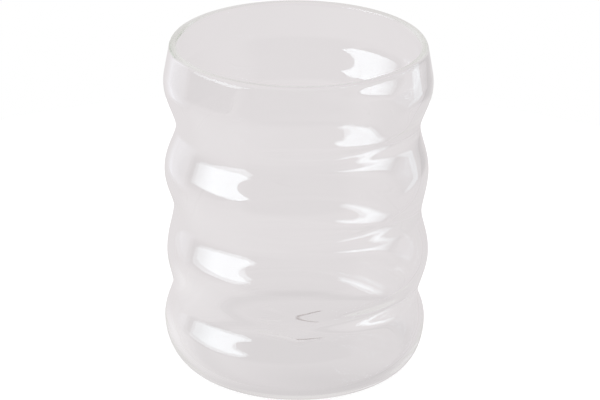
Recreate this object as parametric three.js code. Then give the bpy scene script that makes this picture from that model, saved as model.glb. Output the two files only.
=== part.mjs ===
// A rippled drinking glass of clear blown borosilicate: one thin wall that swells into a stack of soft ripples,
// closed below by a thicker floor with a shallow push-up, and fire-polished round at the lip.
// Millimetres, +Z up, origin at the middle of the foot, on the table.
// The real glass is one continuous piece. Its zones are modelled one by one, in the order in which a glassmaker
// works them: the closed floor, the ripples blown above it, and the lip that is melted smooth at the end.

import * as THREE from "three";

// Driving dimensions, in millimetres.
const CREST_RADIUS = 40; // outside radius of the fullest ripples
const WALL = 2.2; // thickness of the blown wall
const HEEL_RUN = 7.7; // how far the heel curves in from the bottom crest to the flat foot
const FOOT_WIDTH = 6; // width of the flat ring that stands on the table
const FLOOR_THICKNESS = 3; // thickness of the floor at its edge
const FLOOR_CROWN = 0.5; // how much the floor rises towards its middle, seen from inside
const PUNT_DEPTH = 0.9; // hollow pushed up under the floor
const SEAL_RADIUS = 5; // round mark where the end of the tube was melted shut
const SEAL_HEIGHT = 0.6; // how far that mark stands up from the floor
const LIP_HEIGHT = 2.6; // depth of the fire-polished lip

// The ripples' heights: each rises to its crest, then falls back to the waist above it, or at the top to the lip.
const BASE_RISE = 12.5; // from the table
const BASE_FALL = 10.6;
const LOWER_RISE = 11.8;
const LOWER_FALL = 14;
const UPPER_RISE = 12.5;
const UPPER_FALL = 14.1;
const TOP_RISE = 13.9;
const TOP_FALL = 12;

// How far the slimmer crests, the waists and the lip lie in from the fullest crests.
const LOWER_CREST_INSET = 0.2;
const UPPER_CREST_INSET = 0.3;
const BASE_WAIST_DEPTH = 2.45;
const LOWER_WAIST_DEPTH = 2.5;
const UPPER_WAIST_DEPTH = 3.5;
const LIP_INSET = 2;

// How softly crests and waists are rounded: the radii of their arcs, seen from the side.
const BASE_CREST_ARC = 8.2;
const LOWER_CREST_ARC = 21;
const UPPER_CREST_ARC = 19;
const TOP_CREST_ARC = 14;
const BASE_WAIST_ARC = 4.7;
const LOWER_WAIST_ARC = 9.3;
const UPPER_WAIST_ARC = 11.6;

// The ripples from the table up, each with its crest and the waist, or the lip, above it.
const RIPPLES = [
  {
    name: "base_ripple",
    crest: { rise: BASE_RISE, inset: 0, arc: BASE_CREST_ARC },
    above: { rise: BASE_FALL, inset: BASE_WAIST_DEPTH, arc: BASE_WAIST_ARC },
  },
  {
    name: "lower_ripple",
    crest: { rise: LOWER_RISE, inset: LOWER_CREST_INSET, arc: LOWER_CREST_ARC },
    above: { rise: LOWER_FALL, inset: LOWER_WAIST_DEPTH, arc: LOWER_WAIST_ARC },
  },
  {
    name: "upper_ripple",
    crest: { rise: UPPER_RISE, inset: UPPER_CREST_INSET, arc: UPPER_CREST_ARC },
    above: { rise: UPPER_FALL, inset: UPPER_WAIST_DEPTH, arc: UPPER_WAIST_ARC },
  },
  {
    name: "top_ripple",
    crest: { rise: TOP_RISE, inset: 0, arc: TOP_CREST_ARC },
    above: { rise: TOP_FALL, inset: LIP_INSET },
  },
];

// How finely round shapes are cut: sides round the axis, and steps along each arc of the profile.
const SIDES = 64;
const CREST_STEPS = 2;
const WAIST_STEPS = 1;
const HEEL_STEPS = 7;
const LIP_STEPS = 6;
const FLOOR_STEPS = 4;

const footRadius = CREST_RADIUS - HEEL_RUN;

const clearGlass = new THREE.MeshStandardMaterial({
  name: "clear_glass",
  color: 0xe2dedf,
  roughness: 0.04,
  metalness: 0,
  transparent: true,
  opacity: 0.35,
});

// Points of an arc about (r, z), from one angle to another in radians.
function arcPoints(r, z, radius, from, to, steps) {
  return Array.from({ length: steps + 1 }, (_, i) => {
    const angle = from + ((to - from) * i) / steps;
    return new THREE.Vector2(r + radius * Math.cos(angle), z + radius * Math.sin(angle));
  });
}

// One flank of a ripple, from its crest to a waist above or below it: an arc at each end, upright where it starts,
// and a straight slope that touches both. Arcs too large for the flank are made smaller, until no straight is left.
// offset moves the whole line in by that much, for the inside of the wall.
function flank(crest, waist, offset) {
  const climb = Math.abs(waist.z - crest.z);
  const run = crest.r - waist.r;
  const radii = crest.arc + waist.arc;
  const fit = Math.min(1, (climb ** 2 + run ** 2) / (2 * run) / radii);
  const sum = radii * fit;
  const slope = Math.asin(Math.min(1, sum / Math.hypot(climb, sum - run))) - Math.atan2(sum - run, climb);
  const turn = Math.sign(waist.z - crest.z) * slope;
  const crestArc = crest.arc * fit;
  const waistArc = waist.arc * fit;
  return [
    ...arcPoints(crest.r - crestArc, crest.z, crestArc - offset, 0, turn, CREST_STEPS),
    ...arcPoints(waist.r + waistArc, waist.z, waistArc + offset, Math.PI + turn, Math.PI, WAIST_STEPS),
  ];
}

// The heel: a quarter of an ellipse up to the bottom crest, from the edge of the flat foot outside the wall, or
// from the edge of the floor inside it.
function heel(crest, offset) {
  const start = offset > 0 ? FLOOR_THICKNESS : 0;
  const curve = new THREE.EllipseCurve(footRadius, crest.z, HEEL_RUN - offset, crest.z - start, -Math.PI / 2, 0);
  return curve.getPoints(HEEL_STEPS);
}

// The shoulder of the top ripple: an arc that starts upright at the crest and runs out into a straight taper,
// which would end at edge, the outer edge of the lip, if the lip weren't rounded.
function shoulder(crest, edge) {
  const centre = crest.r - crest.arc;
  const reach = new THREE.Vector2(edge.r - centre, edge.z - crest.z);
  const taper = reach.angle() - Math.acos(Math.min(1, crest.arc / reach.length()));
  const radiusAt = (z, offset) =>
    centre + (crest.arc - offset - (z - crest.z) * Math.sin(taper)) / Math.cos(taper);
  const line = (offset, end) => [
    ...arcPoints(centre, crest.z, crest.arc - offset, 0, taper, CREST_STEPS),
    new THREE.Vector2(radiusAt(end, offset), end),
  ];
  return { radiusAt, line };
}

// A ring of glass: the outside line going up, then the inside line coming down, closed and spun about the axis.
function ring(outside, inside) {
  const profile = [...outside, ...[...inside].reverse(), outside[0]];
  return new THREE.LatheGeometry(profile, SIDES).rotateX(Math.PI / 2);
}

// The closed end of the tube: flat foot ring, hollow underside, crowned top with the seal mark in its middle.
function floorDisc() {
  const puntRadius = footRadius - FOOT_WIDTH;
  const dome = (radius, height, base, steps) =>
    Array.from({ length: steps + 1 }, (_, i) => {
      const r = radius * (1 - i / steps);
      return new THREE.Vector2(r, base + height * (1 - (r / radius) ** 2));
    });
  const underside = dome(puntRadius, PUNT_DEPTH, 0, FLOOR_STEPS).reverse();
  const crown = dome(footRadius, FLOOR_CROWN, FLOOR_THICKNESS, FLOOR_STEPS);
  const seal = dome(SEAL_RADIUS, SEAL_HEIGHT, 0, FLOOR_STEPS);
  const crownAt = (r) => FLOOR_THICKNESS + FLOOR_CROWN * (1 - (r / footRadius) ** 2);
  const mark = seal.map((p) => new THREE.Vector2(p.x, crownAt(p.x) + p.y));
  const profile = [
    ...underside,
    new THREE.Vector2(footRadius, 0),
    ...crown.filter((p) => p.x > SEAL_RADIUS),
    ...mark,
  ];
  return new THREE.LatheGeometry(profile, SIDES).rotateX(Math.PI / 2);
}

// The lip: the taper carried on to the top and melted round over its whole thickness.
function lip(slope, lipLine, top) {
  const round = top - WALL / 2;
  const outer = slope.radiusAt(round, 0);
  const inner = slope.radiusAt(round, WALL);
  const bead = new THREE.EllipseCurve((outer + inner) / 2, round, (outer - inner) / 2, WALL / 2, 0, Math.PI);
  const outside = [new THREE.Vector2(slope.radiusAt(lipLine, 0), lipLine), ...bead.getPoints(LIP_STEPS)];
  const inside = [new THREE.Vector2(slope.radiusAt(lipLine, WALL), lipLine)];
  return ring(outside, inside);
}

const glass = new THREE.Group();
glass.name = "drinking_glass";

function add(name, geometry) {
  const zone = new THREE.Mesh(geometry, clearGlass);
  zone.name = name;
  glass.add(zone);
}

add("floor_disc", floorDisc());

// Where a crest, a waist or the lip lies, this far above the point below it.
function place({ rise, inset, arc }, height) {
  return { r: CREST_RADIUS - inset, z: height + rise, arc };
}

let below = null; // the waist that the next ripple rises from
for (const ripple of RIPPLES) {
  const crest = place(ripple.crest, below ? below.z : 0);
  const above = place(ripple.above, crest.z);
  const lower = below ? (offset) => flank(crest, below, offset).reverse() : (offset) => heel(crest, offset);
  let upper = (offset) => flank(crest, above, offset);
  if (ripple.name === "top_ripple") {
    const slope = shoulder(crest, above);
    const lipLine = above.z - LIP_HEIGHT;
    upper = (offset) => slope.line(offset, lipLine);
    add("lip", lip(slope, lipLine, above.z));
  }
  const line = (offset) => [...lower(offset), ...upper(offset).slice(1)];
  add(ripple.name, ring(line(0), line(WALL)));
  below = above;
}

export default glass;
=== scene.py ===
# %% [markdown]
# # A rippled drinking glass
#
# The object is a hand-blown tumbler of clear borosilicate: a thin wall that swells into a stack of soft
# ripples, a round, fire-polished lip and a thicker floor. Clear glass has almost no colour of its own, so
# its look is made of three things: the exact curve of its two surfaces, what those surfaces bend and
# mirror, and the faint green that a long way through the glass gathers. This lesson builds the curve first,
# then the glass, then the studio around it.

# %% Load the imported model
import math

import bpy
from mathutils import Matrix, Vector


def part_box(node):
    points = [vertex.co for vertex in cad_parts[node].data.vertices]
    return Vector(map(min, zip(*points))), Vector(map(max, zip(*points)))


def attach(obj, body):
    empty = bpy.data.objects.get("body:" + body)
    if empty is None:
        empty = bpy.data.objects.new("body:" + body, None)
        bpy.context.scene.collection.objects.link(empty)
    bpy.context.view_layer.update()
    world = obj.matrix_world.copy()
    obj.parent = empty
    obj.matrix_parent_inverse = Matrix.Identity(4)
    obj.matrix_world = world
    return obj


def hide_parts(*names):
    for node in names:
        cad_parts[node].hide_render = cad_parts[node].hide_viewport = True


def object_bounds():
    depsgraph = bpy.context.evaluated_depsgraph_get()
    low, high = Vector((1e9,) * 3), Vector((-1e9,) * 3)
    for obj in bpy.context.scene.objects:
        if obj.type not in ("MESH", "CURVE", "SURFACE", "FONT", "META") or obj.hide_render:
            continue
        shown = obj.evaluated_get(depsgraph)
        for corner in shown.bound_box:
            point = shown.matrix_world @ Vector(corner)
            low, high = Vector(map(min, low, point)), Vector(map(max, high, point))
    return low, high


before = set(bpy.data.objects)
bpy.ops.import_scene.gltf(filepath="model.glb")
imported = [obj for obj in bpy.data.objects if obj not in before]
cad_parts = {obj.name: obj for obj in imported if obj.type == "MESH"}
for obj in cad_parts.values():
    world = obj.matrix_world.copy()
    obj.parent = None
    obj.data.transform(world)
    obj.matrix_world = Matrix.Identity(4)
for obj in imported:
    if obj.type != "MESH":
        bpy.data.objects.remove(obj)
cad_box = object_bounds()
MM = 0.001
print("CAD box in mm:", [[round(c / MM, 2) for c in corner] for corner in cad_box])

# %% [markdown]
# ## Camera
#
# The photograph looks down on the glass from about 24 degrees above the table. Its mild perspective, with
# the foot a little smaller than the lip, puts the lens about 70 cm away. The camera could be pointed with a
# Track To constraint. Here its turn is worked out from the pitch, because the picture also has a tiny roll.

# %% Camera
CAMERA_DISTANCE = 700 * MM
CAMERA_PITCH = math.radians(23.79)
CAMERA_ROLL = math.radians(0.62)
FOCAL_LENGTH = 138.7  # millimetres, as is the sensor's width
SENSOR_WIDTH = 36
AIM_X = 0.84 * MM
AIM_HEIGHT = 50.4 * MM  # close to the middle of the glass

look = Matrix.Rotation(math.pi / 2 - CAMERA_PITCH, 3, "X") @ Matrix.Rotation(CAMERA_ROLL, 3, "Z")
bpy.ops.object.select_all(action="DESELECT")
bpy.ops.object.camera_add(
    location=(
        AIM_X,
        -CAMERA_DISTANCE * math.cos(CAMERA_PITCH),
        AIM_HEIGHT + CAMERA_DISTANCE * math.sin(CAMERA_PITCH),
    ),
    rotation=look.to_euler(),
)
camera = bpy.context.object
camera.data.lens = FOCAL_LENGTH
camera.data.sensor_width = SENSOR_WIDTH
bpy.context.scene.camera = camera
bpy.context.scene.view_settings.view_transform = "Standard"
print("camera at", [round(c, 3) for c in camera.location])

# %% [markdown]
# ## The line of the wall
#
# A blown glass is close to a body of revolution, so one line tells nearly its whole shape. Between a crest
# and a waist the line leans further and further and then rights itself again, the heel is a quarter of an
# ellipse, and the lip is half of one. The heights of the waists and the outer sizes come from the packed
# model; the softer sizes are named here. The inside runs parallel to the outside, and the places where the
# wall is thicker are added later.

# %% Sizes of the line
WALL = 2.2 * MM
HEEL_RUN = 7.7 * MM
FOOT_WIDTH = 6 * MM
FLOOR_THICKNESS = 3 * MM
FLOOR_CROWN = 0.5 * MM
PUNT_DEPTH = 0.9 * MM
CREST_INSETS = [0, 0.2 * MM, 0.3 * MM, 0]
CREST_RISES = [12.5 * MM, 11.8 * MM, 12.5 * MM, 13.9 * MM]
WAIST_DEPTHS = [2.45 * MM, 2.5 * MM, 3.5 * MM]
SHOULDER_ARC = 14 * MM
LIP_INSET = 2 * MM
LIP_ROUND = 1.8 * MM  # height of the part that fire polishing has rounded
# a flank's steepest place as a share of its length, then how soon it leans on leaving its crest and its
# waist
UPPER_FLANK = (0.5, 1.5, 2.6)
LOWER_FLANK = (0.5, 1.9, 2.6)

crest_radius = cad_box[1][0]
glass_height = cad_box[1][2]
foot_radius = crest_radius - HEEL_RUN
waist_heights = [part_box(node)[1][2] for node in ("base_ripple", "lower_ripple", "upper_ripple")]
crest_heights = [start + rise for start, rise in zip([0, *waist_heights], CREST_RISES)]
crests = [(crest_radius - inset, height) for inset, height in zip(CREST_INSETS, crest_heights)]
waists = [(crest_radius - depth, height) for depth, height in zip(WAIST_DEPTHS, waist_heights)]
print("crests at", [round(z / MM, 1) for z in crest_heights])
print("waists at", [round(z / MM, 1) for z in waist_heights])


# %% Arcs and straights
def arc_points(r, z, across, up, start, end, steps):
    """Points of an elliptical arc about (r, z), from one angle to another."""
    angles = [start + (end - start) * i / steps for i in range(steps + 1)]
    return [(r + across * math.cos(a), z + up * math.sin(a)) for a in angles]


def between(a, b, steps):
    """Points that cut the straight from a to b into steps, without its two ends."""
    shares = [i / steps for i in range(1, steps)]
    return [(a[0] + (b[0] - a[0]) * s, a[1] + (b[1] - a[1]) * s) for s in shares]


# %% Flanks between crests and waists
FLANK_STEPS = 22
LEAN_ROUNDS = 8  # rounds in which a flank's steepest lean is brought to meet its waist


def flank(crest, waist):
    """The line from a crest to a waist above or below it: upright at both ends, and steepest between."""
    climb = abs(waist[1] - crest[1])
    run = crest[0] - waist[0]
    peak, crest_fullness, waist_fullness = UPPER_FLANK if waist[1] > crest[1] else LOWER_FLANK
    shares = [(i + 0.5) / FLANK_STEPS for i in range(FLANK_STEPS)]
    leans = [
        1 - (1 - s / peak) ** crest_fullness if s < peak else 1 - ((s - peak) / (1 - peak)) ** waist_fullness
        for s in shares
    ]
    steepest = run / climb
    for _ in range(LEAN_ROUNDS):
        across = sum(math.sin(steepest * lean) for lean in leans)
        along = sum(math.cos(steepest * lean) for lean in leans)
        steepest *= run / climb * along / across
    step = climb / along
    line = [crest]
    for lean in leans:
        r, z = line[-1]
        rise = math.copysign(step * math.cos(steepest * lean), waist[1] - crest[1])
        line.append((r - step * math.sin(steepest * lean), z + rise))
    return line


# %% Shoulder, lip and inside
SHOULDER_STEPS = 8
LIP_STEPS = 30


def shoulder(crest, edge):
    """The line from the top crest up a straight taper towards edge, as far as the lip."""
    centre = crest[0] - SHOULDER_ARC
    reach = (edge[0] - centre, edge[1] - crest[1])
    taper = math.atan2(reach[1], reach[0]) - math.acos(SHOULDER_ARC / math.hypot(*reach))
    curve = arc_points(centre, crest[1], SHOULDER_ARC, SHOULDER_ARC, 0, taper, SHOULDER_STEPS)
    half_drop = WALL / 2 * math.sin(taper)  # the middle of the wall lies this much lower than its outside
    end = edge[1] + half_drop - math.hypot(half_drop, LIP_ROUND * math.cos(taper))
    last = (edge[0] + (edge[1] - end) * math.tan(taper), end)
    return curve + between(curve[-1], last, SHOULDER_STEPS) + [last]


def lip_line(before, outer, inner):
    """Half an ellipse that closes the wall from its outer to its inner end, in line with the taper."""
    rise = math.dist(before, outer)
    up = ((outer[0] - before[0]) / rise * LIP_ROUND, (outer[1] - before[1]) / rise * LIP_ROUND)
    middle = ((outer[0] + inner[0]) / 2, (outer[1] + inner[1]) / 2)
    angles = [math.pi * i / LIP_STEPS for i in range(1, LIP_STEPS)]
    return [
        tuple(m + (o - m) * math.cos(a) + u * math.sin(a) for m, o, u in zip(middle, outer, up))
        for a in angles
    ]


def inner_line(line):
    """The line of the inside, which runs square to each point of the outside at the thickness of the wall."""
    inner = []
    for before, (r, z), after in zip([line[0], *line], line, [*line[1:], line[-1]]):
        dr, dz = after[0] - before[0], after[1] - before[1]
        depth = WALL / math.hypot(dr, dz)
        inner.append((r - dz * depth, z + dr * depth))
    return inner


# %% Heel, floor and push-up
HEEL_STEPS = 22


def heel(radius, start):
    """The line from the edge of the foot, or of the floor inside, out and up to the bottom crest."""
    height = crests[0][1]
    return arc_points(foot_radius, height, radius - foot_radius, height - start, -math.pi / 2, 0, HEEL_STEPS)


def floor_top(r):
    """Height of the floor inside, with its low crown."""
    return FLOOR_THICKNESS + FLOOR_CROWN * (1 - (r / foot_radius) ** 2)


def punt_top(r):
    """Height of the hollow underside inside the foot's ring."""
    return PUNT_DEPTH * (1 - (r / (foot_radius - FOOT_WIDTH)) ** 2)


# %% The closed line, from the middle of the underside round the lip to the middle of the floor
FLOOR_STEPS = 14
FOOT_STEPS = 3
MARK_RADIUS = 18 * MM  # the part of the floor that is drawn finely, for the seal scar
MARK_STEPS = 52

side = [crests[0]]
for lower, waist, upper in zip(crests, waists, crests[1:]):
    side += flank(lower, waist)[1:] + flank(upper, waist)[-2::-1]
side += shoulder(crests[-1], (crest_radius - LIP_INSET, glass_height))[1:]
inner_side = inner_line(side)

outside = heel(crest_radius, 0) + side[1:]
inside = heel(inner_side[0][0], FLOOR_THICKNESS) + inner_side[1:]
punt_radii = [(foot_radius - FOOT_WIDTH) * i / FLOOR_STEPS for i in range(FLOOR_STEPS + 1)]
punt = [(r, punt_top(r)) for r in punt_radii]
foot_ring = between(punt[-1], outside[0], FOOT_STEPS)
lip = lip_line(outside[-2], outside[-1], inside[-1])
floor_radii = [foot_radius + (MARK_RADIUS - foot_radius) * i / FLOOR_STEPS for i in range(1, FLOOR_STEPS)]
floor_radii += [MARK_RADIUS * (1 - i / MARK_STEPS) for i in range(MARK_STEPS + 1)]
floor = [(r, floor_top(r)) for r in floor_radii]
wall_line = punt + foot_ring + outside + lip + inside[::-1] + floor
print("points on the line:", len(wall_line))

# %% [markdown]
# ## Spinning the glass
#
# A turner's or glassblower's shape could be lathed with a Screw modifier or stacked from extruded circles.
# Here the line is drawn as a chain of extruded points and spun about the axis, which is how the shape would
# be drawn by hand. The spin leaves a seam and two poles of loose points, which are merged, and then the
# faces are turned outwards.

# %% Draw the line and spin it
SPIN_STEPS = 200
MERGE_GAP = 0.001 * MM

bpy.ops.object.select_all(action="DESELECT")
bpy.ops.mesh.primitive_plane_add(size=MM, location=(0, 0, 0))
glass = bpy.context.object
glass.name = "tumbler"
bpy.ops.object.mode_set(mode="EDIT")
bpy.ops.mesh.select_all(action="SELECT")
bpy.ops.mesh.merge(type="CENTER")
bpy.ops.transform.translate(value=(wall_line[0][0], 0, wall_line[0][1]))
for (r0, z0), (r1, z1) in zip(wall_line, wall_line[1:]):
    bpy.ops.mesh.extrude_region_move(TRANSFORM_OT_translate={"value": (r1 - r0, 0, z1 - z0)})
bpy.ops.mesh.select_all(action="SELECT")
bpy.ops.mesh.spin(steps=SPIN_STEPS, angle=math.tau, center=(0, 0, 0), axis=(0, 0, 1))
bpy.ops.mesh.select_all(action="SELECT")
bpy.ops.mesh.remove_doubles(threshold=MERGE_GAP)
bpy.ops.mesh.normals_make_consistent(inside=False)
bpy.ops.object.mode_set(mode="OBJECT")
bpy.ops.object.shade_smooth()
print("tumbler:", len(glass.data.polygons), "faces")

# %% [markdown]
# ## Spare glass
#
# Where a waist was drawn in, some glass was left over above it, on the inside of the front. It is less than
# a millimetre thick and doesn't show in the outline, but it makes a lens, which shows the floor and the
# highlights behind it more than once. It could be sculpted. Here a vertex group says how much each point
# moves, and a Displace modifier moves it along its normal, so that each lump keeps a real thickness that
# can be read and changed.


# %% Raising parts of the surface
def smooth(share):
    """A soft step from 0 to 1, while share runs from 0 to 1."""
    share = min(1, max(0, share))
    return share * share * (3 - 2 * share)


def raise_surface(name, height, shares):
    """Moves the points of the glass out of its surface, each by its share of height."""
    group = glass.vertex_groups.new(name=name)
    for index, share in shares.items():
        group.add([index], share, "REPLACE")
    bpy.ops.object.modifier_add(type="DISPLACE")
    modifier = glass.modifiers[-1]
    modifier.vertex_group = name
    modifier.strength = height
    modifier.mid_level = 0
    bpy.ops.object.modifier_apply(modifier=modifier.name)


# %% Spare glass above the waists and below the lip
WAIST_SPARE = 0.62 * MM
# A span is the direction in which a lump is thickest, from +X towards +Y, how far it reaches to each side,
# and the part of that reach in which it thins out, all in degrees.
WAIST_SPAN = (-50, 110, 100)
# the place on the line, the rise from there to the middle of the lump, its thickness and its span
LUMPS = [
    (waists[0], 4.1 * MM, WAIST_SPARE, WAIST_SPAN),
    (waists[1], 4.1 * MM, WAIST_SPARE, WAIST_SPAN),
    (waists[2], 2 * MM, WAIST_SPARE, WAIST_SPAN),
    (waists[0], 3 * MM, 0.7 * MM, (-52, 42, 42)),  # a second, narrow one at the front right
    (side[-1], 0, 0.5 * MM, (-54, 62, 60)),  # where the lip begins
]
SPARE_SPREAD = 3.3 * MM  # how far a lump reaches up and down
MOST_SPARE = 1.3 * MM

shares = {}
for vertex in glass.data.vertices:
    x, y, z = vertex.co
    inward = -(vertex.normal.x * x + vertex.normal.y * y) / max(MM, math.hypot(x, y))
    if inward > 0:
        upright = smooth(2 * inward - 1)  # leaves the floor and the top of the lip as they are
        spare = 0
        for (_, start), rise, thickness, (direction, reach, fade) in LUMPS:
            aside = abs(math.remainder(math.degrees(math.atan2(y, x)) - direction, 360))
            ring = math.exp(-(((z - start - rise) / SPARE_SPREAD) ** 2))
            spare += thickness * ring * upright * smooth((reach - aside) / fade)
        shares[vertex.index] = min(1, spare / MOST_SPARE)
raise_surface("spare_glass", MOST_SPARE, shares)
print("most spare glass in mm:", round(max(shares.values()) * MOST_SPARE / MM, 2))

# %% [markdown]
# ## Seal scar
#
# The end of the tube was melted shut in the middle of the floor. That left a scar inside: a soft fold that
# runs to the rear left, and from its end a thin bead to the rear right, with a little soot burnt into it.
# The scar could be a piece of its own, but it is one with the floor, so the floor's own points are raised.
# An attribute marks the soot for the material, and stays with the points.

# %% Seal scar on the floor
SCAR = [(-9 * MM, 15 * MM), (-4 * MM, 10 * MM), (1 * MM, 2.5 * MM), (8 * MM, 8 * MM)]
SCAR_HEIGHT = 0.5 * MM
ARM_SHARES = [1, 1, 0.6]  # of that height, for each straight of the scar
ARM_HALF_WIDTHS = [3.2 * MM, 3.2 * MM, 1.4 * MM]
SOOT_WIDTH = 1.2 * MM
FACING_UP = 0.5  # the least upward share of a normal that counts as facing up


def off_line(x, y, start, end):
    """How far a point of the floor lies from the straight between two points."""
    dx, dy = end[0] - start[0], end[1] - start[1]
    along = ((x - start[0]) * dx + (y - start[1]) * dy) / (dx * dx + dy * dy)
    along = min(1, max(0, along))
    return math.hypot(x - start[0] - along * dx, y - start[1] - along * dy)


def on_floor(vertex):
    """Whether a point belongs to the floor inside: it faces up, low down and within the heel."""
    x, y, z = vertex.co
    return vertex.normal.z > FACING_UP and z < 2 * FLOOR_THICKNESS and math.hypot(x, y) < foot_radius


shares = {}
burnt = {}
for vertex in filter(on_floor, glass.data.vertices):
    x, y, _ = vertex.co
    shares[vertex.index] = max(
        share * smooth(1 - off_line(x, y, start, end) / half_width)
        for start, end, share, half_width in zip(SCAR, SCAR[1:], ARM_SHARES, ARM_HALF_WIDTHS)
    )
    burnt[vertex.index] = max(0, 1 - off_line(x, y, SCAR[-2], SCAR[-1]) / SOOT_WIDTH)
raise_surface("seal_scar", SCAR_HEIGHT, shares)
print("points with soot:", sum(share > 0 for share in burnt.values()))

# %% [markdown]
# ## Out of round
#
# No blown glass is a perfect body of revolution. The waists of this one are slightly out of round along the
# line from the front left to the rear right, and the crests sway a fraction of a millimetre from side to
# side. A lattice could do that to the whole glass at once. Here it is done as a hand would do it in edit
# mode: a ring is selected and squeezed or pushed with proportional editing, so that the glass near it
# follows softly.

# %% Squeeze and push the rings
RING_HALF = 0.2 * MM  # points this near to a height count as its ring
DIAGONAL = math.radians(50)  # from +X towards +Y: the line from front left to rear right
SQUEEZES = [0.79 * MM, 1.05 * MM, -0.47 * MM]  # of each waist, along the diagonal
SWELL_SHARE = 0.7  # the swelling across the diagonal that keeps the two sides' outline as it is
PUSHES = [-0.41 * MM, 0.15 * MM, 0.22 * MM]  # of each waist, towards the rear right
WAIST_REACH = 13 * MM
SWAYS = [-0.45 * MM, 0.28 * MM, -0.3 * MM]  # of the lower crests, towards the right
SWAY_REACH = 16 * MM


def select_ring(height):
    """Selects the points of the two wall surfaces at one height."""
    bpy.ops.mesh.select_all(action="DESELECT")
    bpy.ops.object.mode_set(mode="OBJECT")
    for vertex in glass.data.vertices:
        vertex.select = abs(vertex.co.z - height) < RING_HALF
    bpy.ops.object.mode_set(mode="EDIT")


bpy.ops.object.mode_set(mode="EDIT")
bpy.ops.mesh.select_mode(type="VERT")
for (radius, height), squeeze, push in zip(waists, SQUEEZES, PUSHES):
    select_ring(height)
    bpy.ops.transform.resize(
        value=(1 - squeeze / radius, 1 + SWELL_SHARE * squeeze / radius, 1),
        orient_type="GLOBAL",
        orient_matrix=Matrix.Rotation(DIAGONAL, 3, "Z"),
        orient_matrix_type="GLOBAL",
        center_override=(0, 0, height),
        use_proportional_edit=True,
        proportional_edit_falloff="SMOOTH",
        proportional_size=WAIST_REACH,
    )
    bpy.ops.transform.translate(
        value=(push * math.cos(DIAGONAL), push * math.sin(DIAGONAL), 0),
        use_proportional_edit=True,
        proportional_edit_falloff="SMOOTH",
        proportional_size=WAIST_REACH,
    )
for (_, height), sway in zip(crests, SWAYS):
    select_ring(height)
    bpy.ops.transform.translate(
        value=(sway, 0, 0),
        use_proportional_edit=True,
        proportional_edit_falloff="SMOOTH",
        proportional_size=SWAY_REACH,
    )
bpy.ops.object.mode_set(mode="OBJECT")
print("out of round: widest", [round(d / MM, 2) for d in glass.dimensions])

# %% Mark the soot
# Edit mode gives the mesh new data each time that it is left, so the attribute is made after the last such
# change.
soot = glass.data.attributes.new("soot", "FLOAT", "POINT")
for index, share in burnt.items():
    soot.data[index].value = share
print("attributes:", [attribute.name for attribute in glass.data.attributes])

# %% [markdown]
# ## Colours and nodes
#
# Colours are chosen as sRGB hex values, but shaders count in linear light, so one function turns them.
# Another adds a node with its settings and links in one call, so that a material reads from its first node
# to its last.


# %% Helpers for materials
def linear(hex_colour):
    """The linear colour of an sRGB hex value, as shaders take it."""
    channels = [int(hex_colour[i : i + 2], 16) / 255 for i in (1, 3, 5)]
    curve = [c / 12.92 if c <= 0.04045 else ((c + 0.055) / 1.055) ** 2.4 for c in channels]
    return (*curve, 1)


def add_node(tree, kind, inputs=None, **settings):
    """Adds one node: settings are its options, inputs its sockets, each with a value or an output to link."""
    node = tree.nodes.new(kind)
    for name, value in settings.items():
        setattr(node, name, value)
    for socket, value in (inputs or {}).items():
        if isinstance(value, bpy.types.NodeSocket):
            tree.links.new(value, node.inputs[socket])
        else:
            node.inputs[socket].default_value = value
    return node


def new_material(name):
    """An empty node material with its output."""
    material = bpy.data.materials.new(name)
    material.use_nodes = True
    material.node_tree.nodes.clear()
    output = material.node_tree.nodes.new("ShaderNodeOutputMaterial")
    return material, material.node_tree, output


# %% [markdown]
# ## Clear borosilicate glass
#
# Borosilicate bends light a little less than window glass, with an index of about 1.47. Fire polishing
# leaves it as smooth as a liquid, so its roughness is zero. Turning the hot glass drew fine lines round it,
# and the surface swells slowly between them, both far less than a tenth of a millimetre deep. They could be
# modelled, but a bump from two noise patterns is finer and lighter. They make the highlights' edges waver,
# and end below the lip, which was melted smooth again. The faint green shows only where light runs a long
# way inside the glass, as in the lip, so it is an absorption in the volume and not a colour on the surface.

# %% Draw lines and swellings of the surface
DRAW_LINE = 1.4 * MM  # from one fine line to the next
DRAW_RUN = 40 * MM  # how far a line runs round the glass
DRAW_SHARE = 0.2  # depth of the lines, as a share of the swellings' depth
SWELL = 16 * MM  # from one slow swelling of the surface to the next
SURFACE_DEPTH = 0.012 * MM
POLISHED = (94 * MM, 97 * MM)  # the heights between which lines and swellings end

glass_material, tree, glass_output = new_material("clear_blown_borosilicate")
where = add_node(tree, "ShaderNodeTexCoord")
drawn_out = add_node(
    tree,
    "ShaderNodeMapping",
    {"Vector": where.outputs["Object"], "Scale": (1 / DRAW_RUN, 1 / DRAW_RUN, 1 / DRAW_LINE)},
)
draw_lines = add_node(
    tree,
    "ShaderNodeTexNoise",
    {"Vector": drawn_out.outputs[0], "Scale": 1, "Detail": 1},
)
swellings = add_node(
    tree,
    "ShaderNodeTexNoise",
    {"Vector": where.outputs["Object"], "Scale": 1 / SWELL, "Detail": 0},
)
faint_lines = add_node(
    tree,
    "ShaderNodeMath",
    {0: draw_lines.outputs["Fac"], 1: DRAW_SHARE},
    operation="MULTIPLY",
)
relief = add_node(
    tree,
    "ShaderNodeMath",
    {0: faint_lines.outputs[0], 1: swellings.outputs["Fac"]},
    operation="ADD",
)
axes = add_node(tree, "ShaderNodeSeparateXYZ", {0: where.outputs["Object"]})
unpolished = add_node(
    tree,
    "ShaderNodeMapRange",
    {"Value": axes.outputs["Z"], "From Min": POLISHED[0], "From Max": POLISHED[1], "To Min": 1, "To Max": 0},
)
uneven = add_node(
    tree,
    "ShaderNodeBump",
    {"Height": relief.outputs[0], "Strength": unpolished.outputs[0], "Distance": SURFACE_DEPTH},
)
print("draw lines", round(DRAW_LINE / MM, 1), "mm apart, surface depth", round(SURFACE_DEPTH / MM, 3), "mm")

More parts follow.
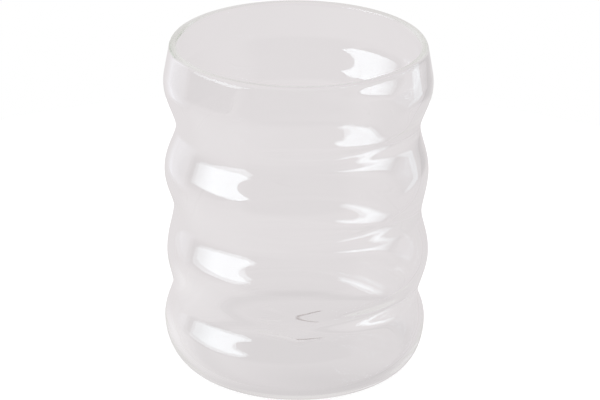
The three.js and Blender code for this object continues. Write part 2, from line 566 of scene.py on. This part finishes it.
# %% Soot in the seal scar
# Soot is a dull brown grey. It stains the glass of the bead and takes away its polish, so the bead shows as
# a stroke. A Mix node has its two colours in the sockets 6 and 7, and gives the mixed one in its output 2.
CLEAR = "#ffffff"
SOOT = "#948480"
SOOT_ROUGHNESS = 0.3

soot_mark = add_node(tree, "ShaderNodeAttribute", attribute_name="soot")
stain = add_node(
    tree,
    "ShaderNodeMix",
    {0: soot_mark.outputs["Fac"], 6: linear(CLEAR), 7: linear(SOOT)},
    data_type="RGBA",
)
dullness = add_node(
    tree,
    "ShaderNodeMath",
    {0: soot_mark.outputs["Fac"], 1: SOOT_ROUGHNESS},
    operation="MULTIPLY",
)
print("soot:", SOOT, "with a roughness of", SOOT_ROUGHNESS)

# %% Glass with a faint green inside
# The eye gets sharp highlights, bent images of what lies behind, and an olive lip.
GLASS_IOR = 1.47
GREEN = "#d2f8b6"
GREEN_DENSITY = 0.17  # per metre, so that only a very long way shows it

polished_glass = add_node(
    tree,
    "ShaderNodeBsdfPrincipled",
    {
        "Base Color": stain.outputs[2],
        "Roughness": dullness.outputs[0],
        "IOR": GLASS_IOR,
        "Transmission Weight": 1,
        "Normal": uneven.outputs[0],
    },
)
tint = add_node(tree, "ShaderNodeVolumeAbsorption", {"Color": linear(GREEN), "Density": GREEN_DENSITY})
tree.links.new(polished_glass.outputs["BSDF"], glass_output.inputs["Surface"])
tree.links.new(tint.outputs["Volume"], glass_output.inputs["Volume"])
glass.data.materials.append(glass_material)

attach(glass, "root")
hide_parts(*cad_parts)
print("glass material:", len(tree.nodes), "nodes")

# %% [markdown]
# ## Studio
#
# A clear glass shows its studio more than itself. The photograph was taken on a pale table, with one large
# softbox at the left, a weak window at the right rear and a darker room behind the camera. Those are what
# the surfaces mirror and bend. Lamps would give light but nothing to mirror, so the studio is built from
# things that the glass can show. The camera itself sees plain white, as in the picture, and every ray that
# has met the glass sees the pale grey room.

# %% Bounces of light
# Light that runs round inside the lip is mirrored many times before it leaves, so paths are allowed to be
# long.
LIGHT_BOUNCES = 1024
LONG_WAY = 8  # after so many bounces light comes from all sides at once, so the studio is evenly grey for it

cycles = bpy.context.scene.cycles
cycles.max_bounces = LIGHT_BOUNCES
cycles.glossy_bounces = LIGHT_BOUNCES
cycles.transmission_bounces = LIGHT_BOUNCES
print("bounces allowed:", cycles.max_bounces)

# %% [markdown]
# ## Table
#
# The table is a pale, matte disc. What counts is how it looks through the glass: lighter at the front left,
# where the softbox reaches it, and darker below the glass, round its heel and to its right. The shadow of
# clear glass needs very many samples to come out smooth, so this light and shade are painted into the
# table's material: rays that have met the glass see the table glow with painted light and a painted shadow,
# set by the distance from a few places. The camera sees the same table as white, with the faint shadow
# that the room's own light gives.

# %% Table top
TABLE_RADIUS = 220 * MM
TABLE_SIDES = 96
TABLE_DROP = 0.1 * MM  # keeps the table's face from touching the foot's

bpy.ops.object.select_all(action="DESELECT")
bpy.ops.mesh.primitive_circle_add(vertices=TABLE_SIDES, radius=TABLE_RADIUS, fill_type="NGON")
table = bpy.context.object
table.name = "table_top"
for vertex in table.data.vertices:
    vertex.co.z = -TABLE_DROP
print("table across in mm:", round(table.dimensions.x / MM))

# %% Distances on the table
# painted shadow on the table: its middle, its darkest ring and a deeper place under the heel
SHADOW_MIDDLE = (4 * MM, -2 * MM, 0)  # the softbox is at the left, so the shadow lies to the right
CONTACT_RADIUS = 34 * MM  # the darkest ring of the shadow, under the heel
HEEL_SHADOW = (14 * MM, -27 * MM, 0)  # a deeper place of the shadow, under the front right of the heel
HEEL_NARROWING = (0.4, 1, 1)  # distances to the sides count less there, so that this place is a long oval

table_material, tree, table_output = new_material("pale_table_painted_light_and_shade")
where = add_node(tree, "ShaderNodeTexCoord")
spot = where.outputs["Object"]
axes = add_node(tree, "ShaderNodeSeparateXYZ", {0: spot})
away = add_node(tree, "ShaderNodeVectorMath", {0: spot, 1: SHADOW_MIDDLE}, operation="DISTANCE")
past_ring = add_node(
    tree,
    "ShaderNodeMath",
    {0: away.outputs["Value"], 1: CONTACT_RADIUS},
    operation="SUBTRACT",
)
off_ring = add_node(tree, "ShaderNodeMath", {0: past_ring.outputs[0]}, operation="ABSOLUTE")
from_heel = add_node(tree, "ShaderNodeVectorMath", {0: spot, 1: HEEL_SHADOW}, operation="SUBTRACT")
narrowed = add_node(
    tree,
    "ShaderNodeVectorMath",
    {0: from_heel.outputs[0], 1: HEEL_NARROWING},
    operation="MULTIPLY",
)
off_heel = add_node(tree, "ShaderNodeVectorMath", {0: narrowed.outputs[0]}, operation="LENGTH")
print("shadow's ring reaches", round(CONTACT_RADIUS / MM), "mm from its middle")

# %% Painted light and shade on the table
# left and forward paint light; below, contact, heel and right paint shadow
# what a ramp runs over, the places where it starts and ends, and its values there
PAINTED_LIGHT_AND_SHADE_RAMPS = {
    "left": (axes.outputs["X"], -10 * MM, -60 * MM, 0, 1),
    "forward": (axes.outputs["Y"], 60 * MM, 0, 0, 1),
    "below": (away.outputs["Value"], 14 * MM, 60 * MM, 0.92, 1),
    "contact": (off_ring.outputs[0], 0, 7 * MM, 0.92, 1),
    "heel": (off_heel.outputs["Value"], 0, 16 * MM, 0.9, 1),
    "right": (axes.outputs["X"], 20 * MM, 60 * MM, 1, 0.95),
}
STUDIO_GREY = "#e3dfe0"
MATTE_AND_PAINTED_LIGHT = "#f0edee"  # painted light where the softbox reaches the table, and the matte table's own colour

ramps = {}
for name, (value, start, end, low, high) in PAINTED_LIGHT_AND_SHADE_RAMPS.items():
    ramps[name] = add_node(
        tree,
        "ShaderNodeMapRange",
        {"Value": value, "From Min": start, "From Max": end, "To Min": low, "To Max": high},
        interpolation_type="SMOOTHSTEP",
    ).outputs[0]
# painted light: the share of the lit colour, towards the front left
painted_light_share = add_node(tree, "ShaderNodeMath", {0: ramps["left"], 1: ramps["forward"]}, operation="MULTIPLY")
painted_light_colour = add_node(
    tree,
    "ShaderNodeMix",
    {0: painted_light_share.outputs[0], 6: linear(STUDIO_GREY), 7: linear(MATTE_AND_PAINTED_LIGHT)},
    data_type="RGBA",
)
# painted shadow: the shadow ramps multiplied together, as the strength of the table's glow
painted_shade = ramps["below"]
for name in ("contact", "heel", "right"):
    painted_shade = add_node(tree, "ShaderNodeMath", {0: painted_shade, 1: ramps[name]}, operation="MULTIPLY").outputs[0]
print("ramps on the table:", ", ".join(ramps))

# %% The table as each ray sees it
WHITE = "#ffffff"
CAMERA_GLOW = 0.82  # with the light that falls on it, the table is then white for the camera
CAMERA_MATTE = (0.5, 0.5, 0.5, 1)  # a linear grey, so that the shadow stays faint

path = add_node(tree, "ShaderNodeLightPath")
met_glass = add_node(
    tree,
    "ShaderNodeMath",
    {0: path.outputs["Is Glossy Ray"], 1: path.outputs["Is Transmission Ray"]},
    operation="MAXIMUM",
)
matte = add_node(tree, "ShaderNodeBsdfDiffuse", {"Color": linear(MATTE_AND_PAINTED_LIGHT)})
# painted light and shade: rays that have met the glass see the table glow with them, not lit
pale = add_node(tree, "ShaderNodeEmission", {"Color": painted_light_colour.outputs[2], "Strength": painted_shade})
faint = add_node(tree, "ShaderNodeBsdfDiffuse", {"Color": CAMERA_MATTE})
glow = add_node(tree, "ShaderNodeEmission", {"Color": linear(WHITE), "Strength": CAMERA_GLOW})
bright = add_node(tree, "ShaderNodeAddShader", {0: faint.outputs[0], 1: glow.outputs[0]})
seen = add_node(
    tree,
    "ShaderNodeMixShader",
    {0: met_glass.outputs[0], 1: matte.outputs[0], 2: pale.outputs[0]},
)
table_look = add_node(
    tree,
    "ShaderNodeMixShader",
    {0: path.outputs["Is Camera Ray"], 1: seen.outputs[0], 2: bright.outputs[0]},
)
tree.links.new(table_look.outputs[0], table_output.inputs["Surface"])
table.data.materials.append(table_material)
print("table material:", len(tree.nodes), "nodes")

# %% [markdown]
# ## Softbox, skirt and window
#
# The big highlights are a softbox at the left, and the darker edge below each of them is its skirt. Thin
# bright loops at the right ends of the ripples come from a window frame at the right rear. Area lamps are
# plain rectangles or ellipses, but the highlights have slanting ends, so each of these is a panel with its
# own corners and its own glow.


# %% Glowing panels
def light_panel(name, distance, colour, corners, ramp):
    """A glowing panel that only the glass sees.

    Its corners are (azimuth from -Y towards -X, elevation) in degrees, all at one distance in metres.
    ramp is an axis, the two places on it between which the glow changes, and its strengths there.
    """
    bpy.ops.object.select_all(action="DESELECT")
    bpy.ops.mesh.primitive_circle_add(vertices=len(corners), radius=1, fill_type="NGON")
    panel = bpy.context.object
    panel.name = name
    for vertex, (azimuth, elevation) in zip(panel.data.vertices, corners):
        a, e = math.radians(azimuth), math.radians(elevation)
        vertex.co = (
            -distance * math.sin(a) * math.cos(e),
            -distance * math.cos(a) * math.cos(e),
            distance * math.sin(e) + AIM_HEIGHT,
        )
    material, tree, output = new_material(name)
    where = add_node(tree, "ShaderNodeTexCoord")
    axes = add_node(tree, "ShaderNodeSeparateXYZ", {0: where.outputs["Object"]})
    axis, start, end, low, high = ramp
    strength = add_node(
        tree,
        "ShaderNodeMapRange",
        {"Value": axes.outputs[axis], "From Min": start, "From Max": end, "To Min": low, "To Max": high},
        interpolation_type="SMOOTHSTEP",
    )
    glow = add_node(tree, "ShaderNodeEmission", {"Color": linear(colour), "Strength": strength.outputs[0]})
    path = add_node(tree, "ShaderNodeLightPath")
    far = add_node(
        tree,
        "ShaderNodeMath",
        {0: path.outputs["Ray Depth"], 1: LONG_WAY},
        operation="GREATER_THAN",
    )
    even = add_node(tree, "ShaderNodeEmission", {"Color": linear(STUDIO_GREY), "Strength": 1})
    seen = add_node(tree, "ShaderNodeMixShader", {0: far.outputs[0], 1: glow.outputs[0], 2: even.outputs[0]})
    tree.links.new(seen.outputs[0], output.inputs["Surface"])
    panel.data.materials.append(material)
    panel.visible_camera = False
    return panel


# %% Softbox, window and skirt
COOL_WHITE = "#f0fbff"
DIM_CLOTH = "#fff8fa"
SOFTBOX = [(100, -3), (70, -1.5), (50, 0), (39.5, 6), (50, 9.5), (57.5, 11.5), (66, 14), (100, 14)]
WINDOW = [(-96, 20), (-126, 18), (-126, -12), (-104, -15), (-104, -11), (-117, -7), (-117, 12), (-96, 16)]
SKIRT = [(109, -11), (74, -10), (64, -6), (57, -2.2), (50, -1), (40, -0.5), (38, 0), (50, 5), (109, 10)]
LIGHT_DISTANCE = 3.0  # metres
SKIRT_DISTANCE = 4.2  # behind the softbox, so that it shows only below it
SOFTBOX_GLOW = ("Y", 0.55, -0.8, 1.7, 4.2)  # brighter towards its front end
WINDOW_GLOW = ("Z", 0, 1, 1.7, 1.7)  # the same all over
SKIRT_GLOW = ("Z", -0.1, -0.75, 0.3, 0.6)  # darkest just below the softbox

softbox = light_panel("softbox", LIGHT_DISTANCE, COOL_WHITE, SOFTBOX, SOFTBOX_GLOW)
window = light_panel("window", LIGHT_DISTANCE, COOL_WHITE, WINDOW, WINDOW_GLOW)
window.visible_transmission = False  # it is mirrored in the outside of the wall and isn't seen through it
skirt = light_panel("softbox_skirt", SKIRT_DISTANCE, DIM_CLOTH, SKIRT, SKIRT_GLOW)
print("panels:", [panel.name for panel in (softbox, window, skirt)])

# %% [markdown]
# ## Room
#
# The rest of the room is one even grey, with three soft changes: a darker band at eye level behind the
# camera, a darker side at the right, and a paler wall at the left rear. A picture of a room could be
# wrapped round the scene instead, but a few ramps over the direction of a ray are enough, and each has a
# plain meaning.

# %% Ramps over the direction
# the axis of the direction, the places where a ramp starts and ends, and its values there
ROOM_RAMPS = {
    "front": ("Y", -0.5, -0.8, 0, 0.4),
    "over_low": ("Z", -0.35, -0.15, 0, 1),
    "under_high": ("Z", 0.25, 0.5, 1, 0),
    "left": ("X", -0.3, -0.8, 0, 1),
    "behind": ("Y", 0.1, 0.6, 0, 1),
    "right": ("X", 0.1, 0.5, 0, 0.2),
    "beside": ("Y", -0.3, 0.3, 0, 1),
}
world = bpy.data.worlds.new("pale_room")
bpy.context.scene.world = world
world.use_nodes = True
tree = world.node_tree
tree.nodes.clear()
where = add_node(tree, "ShaderNodeTexCoord")
axes = add_node(tree, "ShaderNodeSeparateXYZ", {0: where.outputs["Generated"]})
ramps = {}
for name, (axis, start, end, low, high) in ROOM_RAMPS.items():
    ramps[name] = add_node(
        tree,
        "ShaderNodeMapRange",
        {"Value": axes.outputs[axis], "From Min": start, "From Max": end, "To Min": low, "To Max": high},
        interpolation_type="SMOOTHSTEP",
    ).outputs[0]
print("ramps of the room:", ", ".join(ramps))

# %% Dark and pale sides of the room
PALE_WALL = "#fbfaff"

path = add_node(tree, "ShaderNodeLightPath")
near = add_node(
    tree,
    "ShaderNodeMath",
    {0: path.outputs["Ray Depth"], 1: LONG_WAY},
    operation="LESS_THAN",
)
front = ramps["front"]
for limit in (ramps["over_low"], ramps["under_high"], near.outputs[0]):
    front = add_node(tree, "ShaderNodeMath", {0: front, 1: limit}, operation="MULTIPLY").outputs[0]
right = add_node(tree, "ShaderNodeMath", {0: ramps["right"], 1: ramps["beside"]}, operation="MULTIPLY")
dark = add_node(tree, "ShaderNodeMath", {0: front, 1: right.outputs[0]}, operation="ADD")
level = add_node(tree, "ShaderNodeMath", {0: 1, 1: dark.outputs[0]}, operation="SUBTRACT")
pale_side = add_node(tree, "ShaderNodeMath", {0: ramps["left"], 1: ramps["behind"]}, operation="MULTIPLY")
wall_colour = add_node(
    tree,
    "ShaderNodeMix",
    {0: pale_side.outputs[0], 6: linear(STUDIO_GREY), 7: linear(PALE_WALL)},
    data_type="RGBA",
)
room = add_node(tree, "ShaderNodeBackground", {"Color": wall_colour.outputs[2], "Strength": level.outputs[0]})
white = add_node(tree, "ShaderNodeBackground", {"Color": linear(WHITE), "Strength": 1})
backdrop = add_node(
    tree,
    "ShaderNodeMixShader",
    {0: path.outputs["Is Camera Ray"], 1: room.outputs[0], 2: white.outputs[0]},
)
room_output = add_node(tree, "ShaderNodeOutputWorld", {"Surface": backdrop.outputs[0]})
print("room:", len(tree.nodes), "nodes, ending in", room_output.name)
